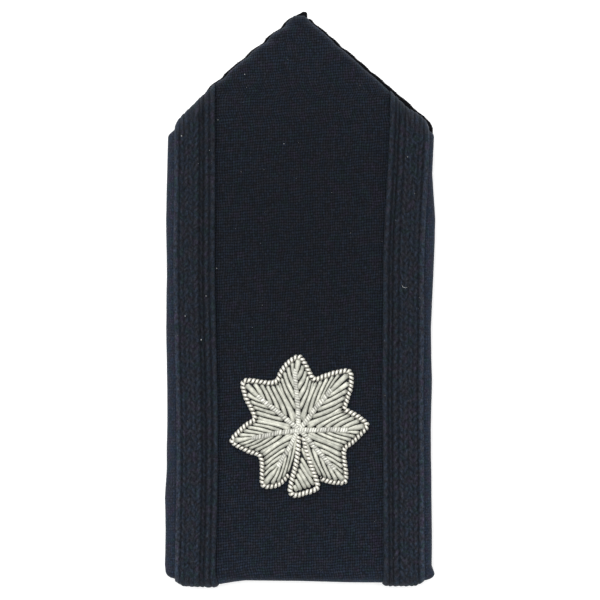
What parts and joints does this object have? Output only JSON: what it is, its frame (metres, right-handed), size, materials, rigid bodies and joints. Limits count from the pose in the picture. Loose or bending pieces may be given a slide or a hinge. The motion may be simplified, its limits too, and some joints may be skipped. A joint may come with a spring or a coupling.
{
  "type": "shoulder board",
  "caption": "Padded cloth shoulder board with one pointed end, a ribbed braid along each long side and a silver bullion leaf near the square end.",
  "frame": {"origin": "under the middle of the whole outline, at the level that the board lies on", "axes": "+Z out of the face, +Y towards the pointed end, +X to the right as seen from above"},
  "size_m": [0.0606, 0.1298, 0.0085],
  "materials": {
    "navy_cloth": "plain weave, matt, dark navy",
    "black_cloth": "plain cloth, matt, black",
    "navy_braid": "ribbed plaited braid with a slight sheen, dark navy",
    "black_leather": "smooth, matt, black",
    "grey_pad": "felt, seen only as dark gaps between the bullion",
    "silver_bullion": "fine coiled silver wire, satin",
    "bright_bullion": "faceted coiled silver wire, sparkling",
    "silver_cord": "two-strand twisted silver wire cord, satin"
  },
  "bodies": {
    "root": {"board_cover": "navy_cloth", "backing": "black_cloth", "fastening_strap": "black_leather", "braid_left": "navy_braid", "braid_right": "navy_braid", "leaf_padding": "grey_pad", "leaf_edging": "silver_cord", "stem_edging": "silver_cord", "stem_bars": "silver_bullion", "lobe_bars_1": "silver_bullion", "lobe_bars_2": "silver_bullion", "lobe_bars_3": "silver_bullion", "lobe_bars_4": "silver_bullion", "lobe_bars_5": "silver_bullion", "lobe_bars_6": "silver_bullion", "lobe_bars_7": "silver_bullion", "vein_1": "bright_bullion", "vein_2": "bright_bullion", "vein_3": "bright_bullion", "vein_4": "bright_bullion", "vein_5": "bright_bullion", "vein_6": "bright_bullion", "vein_7": "bright_bullion"}
  },
  "joints": []
}
